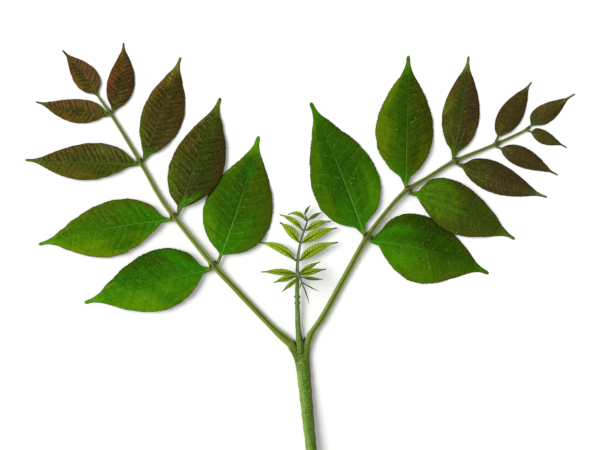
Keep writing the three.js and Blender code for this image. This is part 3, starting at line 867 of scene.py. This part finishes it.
def stemTint(y, angle, share):
    past = stemLevels(share)
    # Painted highlight on the left; the right is partly own colour, partly painted shade.
    tint = mixed(stemShape["middle"], stemShape["left"], smooth(-0.2, 0.95, np.cos(angle)))
    tint = mixed(tint, stemShape["right"], smooth(0.1, 0.95, -np.cos(angle)))
    tint = mixed(tint, stemShape["node"], 0.6 * hump(past, -4, 9))
    tint = mixed(tint, stemShape["internode"], 0.8 * smooth(2, 9, past))
    for level, _ in stemShape["scales"]:
        for side in stemShape["scaleSides"]:
            reach = hump(fromAngle(angle, side), 0, 30)
            tint = mixed(tint, stemShape["scale"], 0.95 * hump(past, level, 0.6) * reach)
    return speckled(tint, 8, 0.12 + 0.36 * hump(past, -5, 9))


growStalk("stem", stemLine, 48, 0.35, stemRadius, stemTint)
print("stem grown")

leafStalkShape = {
    "groove": 0.26,
    "swelling": 0.31,  # where leaflets leave it
    # channel: painted shade along the groove on top
    # crevice: painted shade in the angle against the stem and where leaflets leave the stalk
    "channel": "2a3a02", "far": "6e7a46", "creviceShade": "20240c", "grain": 0.36,
    "young": "7a8c5c", "youngEdge": "28341a",
    # How far a young leaf's stalk reaches into the stem's tip, in millimetres.
    "reach": {"back_young": 1.6, "front_young": 2.4},
    # A foot is given by millimetres past the node, outwards from the stem's axis, and half-width.
    # Colours are those of the left side, the middle and the right side.
    "left": {
        "foot": ((-15, 2.2, 1.0), (-11, 2.3, 1.25), (-7, 2.25, 1.65), (-3.5, 2.7, 2.0),
                 (-1, 3.75, 2.15)),
        "footColour": "5c701c", "petiole": ("8e9e50", "738624", "a4b078"),
        "rachis": ("aab86c", "889a3e", "b2bc82"), "groovesAt": (118, 100),
    },
    "right": {
        "foot": ((-15, 2.3, 1.0), (-11, 2.3, 1.25), (-7, 2.0, 1.65), (-3.5, 2.4, 1.85),
                 (-1, 3.1, 2.0), (1.5, 3.9, 2.0)),
        "footColour": "587020", "petiole": ("86945a", "7d9130", "acb87e"),
        "rachis": ("768150", "728430", "c4ce94"), "groovesAt": (104, 96),
    },
}


def nodesOnStalk(leaf, centres):  # where its leaflets leave a leaf stalk, in millimetres
    fine = alongCurve(centres, np.linspace(0, 1, 400))
    pace = distancesAlong(fine) / mm
    levels = []
    for node in leafletsOf(leaf):
        gaps = np.linalg.norm(fine[:, None] - cornersOf(node)[None, ::7], axis=2).min(1)
        levels.append(pace[np.argmin(gaps)])
    return sorted(levels)


# A leaf stalk rises out of the side of the stem: its foot runs down inside it.
def withFoot(own, hand, centres, wide, tall):
    axis = stemLine[0]
    past = centres[:, 1] / mm - nodeY
    clear = past > own["foot"][-1][0] + 1.7
    level, outward, half = np.array(own["foot"]).T
    along = (level + nodeY) * mm
    half = half * mm
    foot = np.stack([np.interp(along, axis[:, 1], axis[:, 0]) + hand * outward * mm, along,
                     np.interp(along, axis[:, 1], axis[:, 2]) + 0.1 * mm], axis=1)
    fuller = half[-1] * (1 - smooth(4, 18, past[clear]))
    return (np.concatenate([foot, centres[clear]]),
            np.append(half, np.maximum(wide[clear], fuller)), np.append(half, tall[clear]))


def growLeafStalk(leaf):
    node = leaf + "_leaf_stalk"
    mature = leafNames[leaf] == "mature"
    centres, wide, tall, reference = stalkLine(node, stemCorners)
    shape = leafStalkShape
    seed = len(leaf)
    if mature:
        hand = -1 if leaf == "left" else 1
        own = shape[leaf]
        centres, wide, tall = withFoot(own, hand, centres, wide, tall)
    else:
        start = unit(centres[1] - centres[0])
        centres = np.concatenate([[centres[0] - start * shape["reach"][leaf] * mm], centres])
        wide, tall = np.append(wide[0], wide), np.append(tall[0], tall)
    levels = nodesOnStalk(leaf, centres)
    first = levels[0]

    def grooveAngle(y):
        if not mature:
            return 90
        atFoot, beyond = own["groovesAt"]
        return atFoot + (beyond - atFoot) * smooth(first - 14, first, y)

    def radiusOf(y, angle, share):
        radius = 1 + 0.02 * ripple(seed, y + np.cos(angle), 9)
        top = fromAngle(angle, grooveAngle(y))
        groove = shape["groove"] * (smooth(16, 24, y) if mature else 0.5)
        radius = radius - groove * hump(top, 0, 20)
        radius = radius + 0.3 * groove * (hump(top, 34, 14) + hump(top, -34, 14))
        for level in levels[:-1]:
            radius = radius + shape["swelling"] * hump(y, level, 1.8 if mature else 0.5)
        return radius

    def tintAt(y, angle, share):
        side = np.cos(angle)
        if not mature:
            tint = mixed(shape["young"], shape["youngEdge"], smooth(-0.1, 0.7, side))
            return mixed(tint, shape["youngEdge"], smooth(0.4, 1.0, share) * 0.7)
        past = smooth(first - 14, first + 6, y)
        left, body, right = (mixed(near, beyond, past)
                             for near, beyond in zip(own["petiole"], own["rachis"]))
        tint = mixed(body, left, smooth(0.4, 0.95, side))
        tint = mixed(tint, right, smooth(0.4, 0.9, -side))
        groove = hump(fromAngle(angle, grooveAngle(y)), 0, 20)
        inner = smooth(0.3, 0.95, side * hand)  # the side towards the stem
        for share, shade in (
                (0.5 * smooth(levels[1], levels[-2], y), shape["far"]),
                # painted shade in the groove on top
                (0.8 * groove * smooth(14, 20, y), shape["channel"]),
                (1 - smooth(12, 20, y), own["footColour"]),
                # painted shade in the angle against the stem
                (0.55 * inner * hump(y, 15.5, 2.6), shape["creviceShade"])):
            tint = mixed(tint, shade, share)
        # Painted shade in the creases where leaflets leave the stalk.
        for level in levels[:-1]:
            creviceShade = hump(y, level + 0.4, 1.1) * smooth(0.1, 0.7, np.abs(side))
            tint = mixed(tint, shape["creviceShade"], 0.85 * creviceShade)
        return speckled(tint, seed, shape["grain"] * (1 - smooth(12, 24, y)))

    around, spacing = (32, 0.4) if mature else (16, 0.25)
    line = (centres, wide, tall, reference)
    growStalk(node, line, around, spacing, radiusOf, tintAt, (0.6, 0.5))


for leaf in leafNames:
    growLeafStalk(leaf)
print("leaf stalks grown:", len(leafNames))

budShape = {
    "rings": 14, "around": 20, "dark": "1c1c0c", "light": "34361a", "point": 0.7, "fuller": 1.5,
    # How far its foot reaches into the angle: millimetres inwards and downwards.
    "rooted": {"left": (1.0, 2.4), "right": (-0.5, 2.6)},
}


def growBud(side):
    node = "axillary_bud_" + side
    inwards, downwards = budShape["rooted"][side]
    rows, columns = budShape["rings"], budShape["around"]
    low, high = (np.array(corner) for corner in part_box(node))
    middle, half = (low + high) / 2, (high - low) / 2
    share = np.linspace(0, 1, rows)[:, None]
    angle = np.linspace(0, 2 * math.pi, columns, endpoint=False)
    girth = np.sin(math.pi * np.clip(share, 0.03, 0.97) ** budShape["point"])
    girth = girth * (1 - 0.12 * np.abs(np.cos(1.5 * angle + 4 * share)))  # overlapping scales
    girth = girth * budShape["fuller"]
    foot = (1 - share) * mm
    points = np.stack([middle[0] + half[0] * girth * np.cos(angle) + foot * inwards,
                       middle[1] + half[1] * (2 * share - 1) - foot * downwards + 0 * angle,
                       middle[2] + half[2] * girth * np.sin(angle)], axis=2)
    bands = 0.5 + 0.5 * np.sin(9 * share + 0 * angle)
    looks = {"tint": mixed(budShape["dark"], budShape["light"], bands),
             "place": np.stack(np.broadcast_arrays(share * 2, angle, 1.0), axis=2)}
    makePiece(node, points, tubeFaces(rows, columns, -1), looks, stalkMaterials)


for side in ("left", "right"):
    growBud(side)
print("buds grown")

studio = {
    "floorColour": (0.95, 0.95, 0.94, 1.0),
    "floorGlow": 0.13,  # only seen directly, so that the floor is white around its shadows
    "skyStrength": 0.34,
    "sunStrength": 2.45,
    "sunFrom": (-0.9, 0.32, 1.5),
    "sunSize": 36.0,  # degrees: how soft the shadows are
    "lens": 90.0,
    "fieldWidth": 0.2993,
    "offCentre": (-0.00012, 0.01561),  # from the middle of the model's box
    "focusHeight": 0.0015,
    "floorReach": 12.0,  # metres to each side
}


def buildStudio():
    scene = bpy.context.scene
    scene.view_settings.view_transform = "Standard"

    floorMesh = bpy.data.meshes.new("floor")
    reach = studio["floorReach"]
    corners = [(x * reach, y * reach, 0) for x, y in ((-1, -1), (1, -1), (1, 1), (-1, 1))]
    floorMesh.from_pydata(corners, [], [(0, 1, 2, 3)])
    floor = bpy.data.objects.new("floor", floorMesh)
    scene.collection.objects.link(floor)
    material, tree = newMaterial("paleFloor")
    paint = addNode(tree, "ShaderNodeBsdfDiffuse", (studio["floorColour"],))
    rays = tree.nodes.new("ShaderNodeLightPath").outputs
    seen = calculate(tree, "MAXIMUM", rays["Is Camera Ray"], rays["Is Glossy Ray"])
    seen = calculate(tree, "MAXIMUM", seen, rays["Is Transmission Ray"])
    glow = addNode(tree, "ShaderNodeEmission",
                   {"Strength": times(tree, seen, studio["floorGlow"])})
    tree.links.new(addNode(tree, "ShaderNodeAddShader", (paint, glow)), addOutput(tree))
    floorMesh.materials.append(material)

    world = bpy.data.worlds.new("studio")
    scene.world = world
    world.use_nodes = True
    sky = world.node_tree.nodes["Background"]
    sky.inputs["Color"].default_value = (1, 1, 1, 1)
    sky.inputs["Strength"].default_value = studio["skyStrength"]

    sun = bpy.data.objects.new("sun", bpy.data.lights.new("sun", "SUN"))
    sun.data.energy = studio["sunStrength"]
    sun.data.angle = math.radians(studio["sunSize"])
    sun.rotation_euler = Vector(studio["sunFrom"]).to_track_quat("Z", "Y").to_euler()
    scene.collection.objects.link(sun)

    camera = bpy.data.objects.new("camera", bpy.data.cameras.new("camera"))
    camera.data.lens = studio["lens"]
    away = studio["lens"] / camera.data.sensor_width * studio["fieldWidth"]
    middle = (cadBox[0] + cadBox[1]) / 2
    camera.location = (middle.x + studio["offCentre"][0], middle.y + studio["offCentre"][1],
                       studio["focusHeight"] + away)
    camera.data.clip_end = 10.0
    scene.collection.objects.link(camera)
    scene.camera = camera


buildStudio()
print("studio ready")
